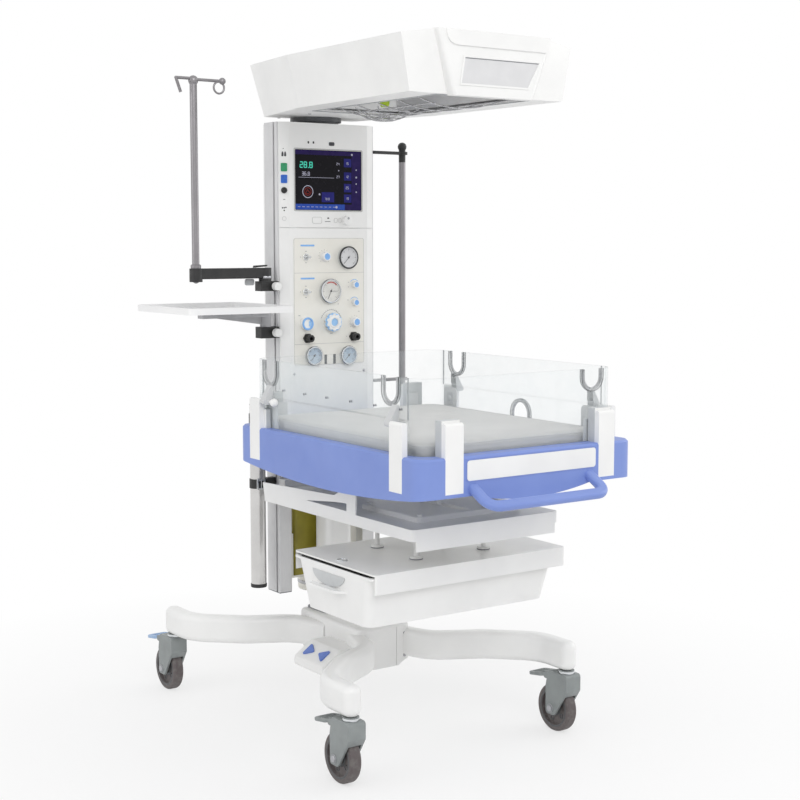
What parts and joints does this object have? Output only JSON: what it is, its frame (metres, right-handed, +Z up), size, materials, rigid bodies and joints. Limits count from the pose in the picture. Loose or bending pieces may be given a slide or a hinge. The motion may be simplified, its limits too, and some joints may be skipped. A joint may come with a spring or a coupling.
{
  "type": "infant radiant warmer",
  "caption": "Wheeled open infant bed with fold-down clear walls, lifting and tilting deck, drawer, gas and monitor tower, swivelling heater hood and side arms.",
  "frame": {"origin": "bottom centre of the whole, on the floor", "axes": "+Z up, the bed's front looks to -Y, +X to the right hand of a person facing the tower"},
  "size_m": [0.8514, 1.3685, 1.755],
  "materials": {
    "white_paint": "satin powder coat",
    "white_plastic": "moulded, satin",
    "blue_plastic": "moulded, satin",
    "cream_panel": "smooth",
    "screen": "dark display glass",
    "aluminium": "anodised",
    "chrome": "polished",
    "steel": "ground",
    "clear": "clear acrylic",
    "grey_plastic": "moulded",
    "black_plastic": "moulded",
    "light_blue": "moulded",
    "tyre_grey": "rubber tread",
    "mattress_cover": "wipe-clean foam mattress cover",
    "ceramic": "fired",
    "grey_paint": "satin",
    "olive_box": "moulded"
  },
  "bodies": {
    "base": {"base_hub": "white_paint", "base_legs": "white_paint", "lift_column": "white_paint", "foot_control": "white_plastic"},
    "button_up": {"foot_button_up": "light_blue"},
    "button_down": {"foot_button_down": "light_blue"},
    "mast": {"lift_stage": "steel", "carrier_frame": "white_paint", "drawer_housing": "white_paint", "mast_columns": "aluminium", "monitor_housing": "white_plastic", "display_panel": "screen", "gas_module": "cream_panel", "panel_fittings": "grey_plastic", "rear_cover": "white_paint", "side_tube": "chrome", "rear_box": "olive_box", "accessory_pole": "chrome", "rail_clamps": "grey_plastic"},
    "drawer": {"drawer_bin": "white_plastic"},
    "bed": {"deck_skirt": "blue_plastic", "deck_tray": "white_plastic", "mattress": "mattress_cover", "wall_posts": "white_plastic", "fixed_walls": "clear", "tilt_sector": "steel"},
    "front_panel": {"front_wall": "clear"},
    "left_flap": {"flap_left": "clear"},
    "right_flap": {"flap_right": "clear"},
    "latch": {"wall_latch": "white_plastic"},
    "hood": {"hood_shell": "white_plastic", "hood_swivel": "black_plastic", "heater_reflector": "chrome", "heater_element": "ceramic", "heater_guard": "chrome"},
    "iv_arm": {"iv_pole": "chrome"},
    "shelf": {"shelf_tray": "grey_paint"},
    "dial": {"menu_dial": "white_plastic"},
    "fork_front_left": {"caster_fork_front_left": "grey_plastic"},
    "wheel_front_left": {"caster_wheel_front_left": "tyre_grey"},
    "brake_front_left": {"caster_brake_front_left": "grey_plastic"},
    "fork_front_right": {"caster_fork_front_right": "grey_plastic"},
    "wheel_front_right": {"caster_wheel_front_right": "tyre_grey"},
    "brake_front_right": {"caster_brake_front_right": "grey_plastic"},
    "fork_rear_left": {"caster_fork_rear_left": "grey_plastic"},
    "wheel_rear_left": {"caster_wheel_rear_left": "tyre_grey"},
    "brake_rear_left": {"caster_brake_rear_left": "light_blue"},
    "fork_rear_right": {"caster_fork_rear_right": "grey_plastic"},
    "wheel_rear_right": {"caster_wheel_rear_right": "tyre_grey"},
    "brake_rear_right": {"caster_brake_rear_right": "grey_plastic"},
    "knob_1": {"gas_knob_1": "white_plastic"},
    "knob_2": {"gas_knob_2": "black_plastic"},
    "knob_3": {"gas_knob_3": "black_plastic"},
    "knob_4": {"gas_knob_4": "light_blue"},
    "knob_5": {"gas_knob_5": "white_plastic"},
    "knob_6": {"gas_knob_6": "black_plastic"},
    "toggle_lever_1": {"toggle_1": "chrome"},
    "toggle_lever_2": {"toggle_2": "chrome"}
  },
  "joints": [
    {"name": "button_up_press", "type": "slide", "parent": "base", "child": "button_up", "axis": [0.5755, 0, -0.8178], "range_m": [0, 0.0027], "stiffness_N_per_m": 400},
    {"name": "button_down_press", "type": "slide", "parent": "base", "child": "button_down", "axis": [0.5755, 0, -0.8178], "range_m": [0, 0.0027], "stiffness_N_per_m": 400},
    {"name": "swivel_front_left", "type": "hinge", "parent": "base", "child": "fork_front_left", "pos_m": [-0.27425, -0.35575, 0.171], "axis": [0, 0, 1], "continuous": true},
    {"name": "roll_front_left", "type": "hinge", "parent": "fork_front_left", "child": "wheel_front_left", "pos_m": [-0.27425, -0.31975, 0.0625], "axis": [1, 0, 0], "continuous": true},
    {"name": "brake_front_left_press", "type": "hinge", "parent": "fork_front_left", "child": "brake_front_left", "pos_m": [-0.27425, -0.29975, 0.147], "axis": [-1, 0, 0], "range_deg": [0, 10]},
    {"name": "swivel_front_right", "type": "hinge", "parent": "base", "child": "fork_front_right", "pos_m": [0.39575, -0.35575, 0.171], "axis": [0, 0, 1], "continuous": true},
    {"name": "roll_front_right", "type": "hinge", "parent": "fork_front_right", "child": "wheel_front_right", "pos_m": [0.39575, -0.31975, 0.0625], "axis": [1, 0, 0], "continuous": true},
    {"name": "brake_front_right_press", "type": "hinge", "parent": "fork_front_right", "child": "brake_front_right", "pos_m": [0.39575, -0.29975, 0.147], "axis": [-1, 0, 0], "range_deg": [0, 10]},
    {"name": "swivel_rear_left", "type": "hinge", "parent": "base", "child": "fork_rear_left", "pos_m": [-0.27425, 0.56225, 0.171], "axis": [0, 0, 1], "continuous": true},
    {"name": "roll_rear_left", "type": "hinge", "parent": "fork_rear_left", "child": "wheel_rear_left", "pos_m": [-0.27425, 0.59825, 0.0625], "axis": [1, 0, 0], "continuous": true},
    {"name": "brake_rear_left_press", "type": "hinge", "parent": "fork_rear_left", "child": "brake_rear_left", "pos_m": [-0.27425, 0.61825, 0.147], "axis": [-1, 0, 0], "range_deg": [0, 10]},
    {"name": "swivel_rear_right", "type": "hinge", "parent": "base", "child": "fork_rear_right", "pos_m": [0.39575, 0.56225, 0.171], "axis": [0, 0, 1], "continuous": true},
    {"name": "roll_rear_right", "type": "hinge", "parent": "fork_rear_right", "child": "wheel_rear_right", "pos_m": [0.39575, 0.59825, 0.0625], "axis": [1, 0, 0], "continuous": true},
    {"name": "brake_rear_right_press", "type": "hinge", "parent": "fork_rear_right", "child": "brake_rear_right", "pos_m": [0.39575, 0.61825, 0.147], "axis": [-1, 0, 0], "range_deg": [0, 10]},
    {"name": "lift", "type": "slide", "parent": "base", "child": "mast", "axis": [0, 0, 1], "range_m": [0, 0.2]},
    {"name": "drawer_slide", "type": "slide", "parent": "mast", "child": "drawer", "axis": [-1, 0, 0], "range_m": [0, 0.34]},
    {"name": "bed_tilt", "type": "hinge", "parent": "mast", "child": "bed", "pos_m": [0.06075, -0.19075, 0.684], "axis": [1, 0, 0], "range_deg": [-10, 12]},
    {"name": "front_wall_lift", "type": "slide", "parent": "bed", "child": "front_panel", "axis": [0, 0, 1], "range_m": [0, 0.16]},
    {"name": "left_flap_fold", "type": "hinge", "parent": "bed", "child": "left_flap", "pos_m": [-0.25075, -0.19975, 0.8725], "axis": [0, -1, 0], "range_deg": [0, 170]},
    {"name": "right_flap_fold", "type": "hinge", "parent": "bed", "child": "right_flap", "pos_m": [0.37225, -0.19975, 0.8725], "axis": [0, 1, 0], "range_deg": [0, 170]},
    {"name": "latch_pull", "type": "slide", "parent": "left_flap", "child": "latch", "axis": [0, -1, 0], "range_m": [0, 0.008], "stiffness_N_per_m": 150},
    {"name": "hood_swivel", "type": "hinge", "parent": "mast", "child": "hood", "pos_m": [0.06075, 0.32525, 1.595], "axis": [0, 0, 1], "range_deg": [-15, 90]},
    {"name": "iv_arm_swivel", "type": "hinge", "parent": "mast", "child": "iv_arm", "pos_m": [-0.12925, 0.28025, 1.172], "axis": [0, 0, 1], "range_deg": [-45, 30]},
    {"name": "shelf_swivel", "type": "hinge", "parent": "mast", "child": "shelf", "pos_m": [-0.12925, 0.28025, 1.05], "axis": [0, 0, 1], "range_deg": [-3, 52]},
    {"name": "dial_turn", "type": "hinge", "parent": "mast", "child": "dial", "pos_m": [0.11675, 0.26025, 1.335], "axis": [0, -1, 0], "continuous": true},
    {"name": "knob_1_turn", "type": "hinge", "parent": "mast", "child": "knob_1", "pos_m": [0.04475, 0.26025, 1.237], "axis": [0, -1, 0], "range_deg": [-135, 135]},
    {"name": "knob_2_turn", "type": "hinge", "parent": "mast", "child": "knob_2", "pos_m": [0.14175, 0.26025, 1.159], "axis": [0, -1, 0], "range_deg": [-135, 135]},
    {"name": "knob_3_turn", "type": "hinge", "parent": "mast", "child": "knob_3", "pos_m": [0.14175, 0.26025, 1.11], "axis": [0, -1, 0], "range_deg": [-135, 135]},
    {"name": "knob_4_turn", "type": "hinge", "parent": "mast", "child": "knob_4", "pos_m": [-0.01625, 0.26025, 1.056], "axis": [0, -1, 0], "range_deg": [0, 90]},
    {"name": "knob_5_turn", "type": "hinge", "parent": "mast", "child": "knob_5", "pos_m": [0.06575, 0.26025, 1.058], "axis": [0, -1, 0], "range_deg": [-135, 135]},
    {"name": "knob_6_turn", "type": "hinge", "parent": "mast", "child": "knob_6", "pos_m": [0.14175, 0.26025, 1.056], "axis": [0, -1, 0], "range_deg": [-135, 135]},
    {"name": "toggle_1_flip", "type": "hinge", "parent": "mast", "child": "toggle_lever_1", "pos_m": [-0.01425, 0.25785, 1.236], "axis": [1, 0, 0], "range_deg": [-14, 14]},
    {"name": "toggle_2_flip", "type": "hinge", "parent": "mast", "child": "toggle_lever_2", "pos_m": [-0.01525, 0.25785, 1.142], "axis": [1, 0, 0], "range_deg": [-14, 14]}
  ]
}
